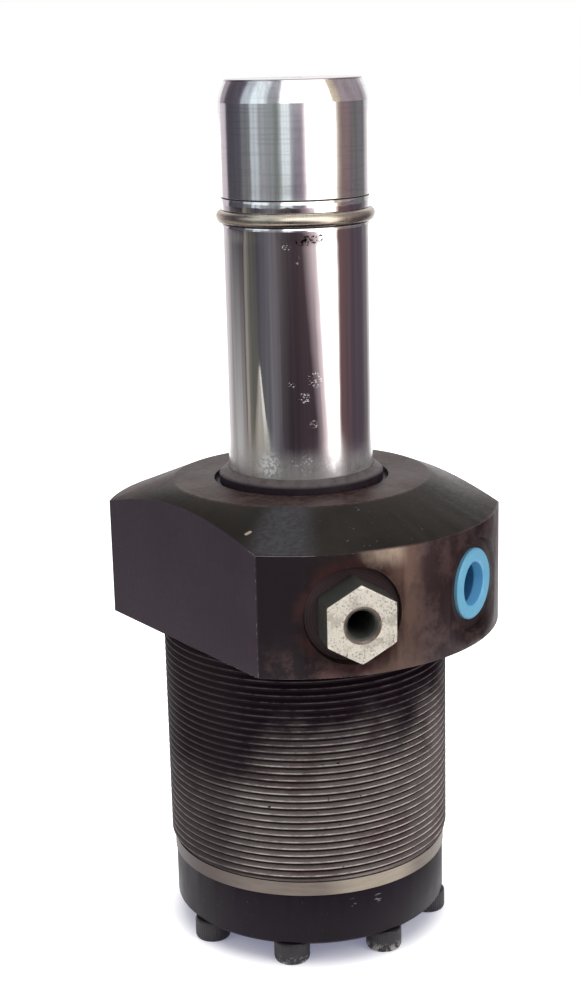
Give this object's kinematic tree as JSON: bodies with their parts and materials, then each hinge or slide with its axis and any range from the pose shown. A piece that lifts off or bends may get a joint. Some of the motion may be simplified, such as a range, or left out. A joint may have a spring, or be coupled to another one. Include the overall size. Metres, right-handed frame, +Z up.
{
  "type": "swing clamp cylinder",
  "caption": "Threaded-body hydraulic swing clamp cylinder: a plunger that turns as it pulls down, a flatted head with side ports, and a bolted end cap.",
  "frame": {"origin": "on the cylinder's axis, at the head's seating face on top of the threaded barrel", "axes": "+Z up the plunger; the wrench flats face -X and +X; the ports open towards -Y, 22.5 degrees to either side"},
  "size_m": [0.0654, 0.0922, 0.1888],
  "materials": {
    "black_steel": "black oxide on steel, worn brown where it was rubbed",
    "worn_steel": "steel with the black oxide worn off the thread's lower two thirds",
    "plunger_chrome": "hard chromed and polished, turned finish at the nose",
    "ring_steel": "drawn spring wire, dull",
    "wiper_rubber": "black polyurethane",
    "zinc_steel": "bright zinc plate, speckled",
    "blue_plastic": "soft polyethylene, slightly glossy",
    "black_cap": "black oxide",
    "black_screw": "black oxide, knurled heads worn",
    "bronze": "machined bearing bronze",
    "inner_steel": "ground steel",
    "seal_rubber": "black nitrile",
    "slipper_plastic": "bronze-filled slipper plastic"
  },
  "bodies": {
    "housing": {"body": "black_steel", "barrel": "worn_steel", "rod_bearing": "bronze", "rod_seal": "seal_rubber", "rod_wiper": "wiper_rubber", "cam_spindle": "inner_steel", "spindle_dowel": "inner_steel", "spindle_o_ring": "seal_rubber", "spindle_washer": "inner_steel", "spindle_nut": "black_screw", "end_cap": "black_cap", "cap_o_ring": "seal_rubber", "cap_backup_ring": "slipper_plastic", "cap_screws": "black_screw", "clamp_port_adapter": "zinc_steel", "adapter_o_ring": "seal_rubber", "passage_plug": "inner_steel"},
    "piston": {"piston": "inner_steel", "piston_seal": "slipper_plastic", "piston_energizer": "seal_rubber", "piston_wear_ring": "slipper_plastic"},
    "plunger": {"plunger": "plunger_chrome", "wire_ring": "ring_steel", "piston_o_ring": "seal_rubber", "ball_nut": "inner_steel", "cam_balls": "inner_steel"},
    "port_plug": {"unclamp_port_plug": "blue_plastic"}
  },
  "joints": [
    {"name": "plunger_stroke", "type": "slide", "parent": "housing", "child": "piston", "axis": [0, 0, 1], "range_m": [-0.0381, 0]},
    {"name": "plunger_swing", "type": "hinge", "parent": "piston", "child": "plunger", "pos_m": [0, 0, 0], "axis": [0, 0, 1], "range_deg": [-90, 0]},
    {"name": "plug_pull", "type": "slide", "parent": "housing", "child": "port_plug", "axis": [0.3827, -0.9239, 0], "range_m": [0, 0.012]}
  ],
  "couplings": [
    {"joint": "plunger_swing", "follows": "plunger_stroke", "rad_per_m": 41.228}
  ]
}
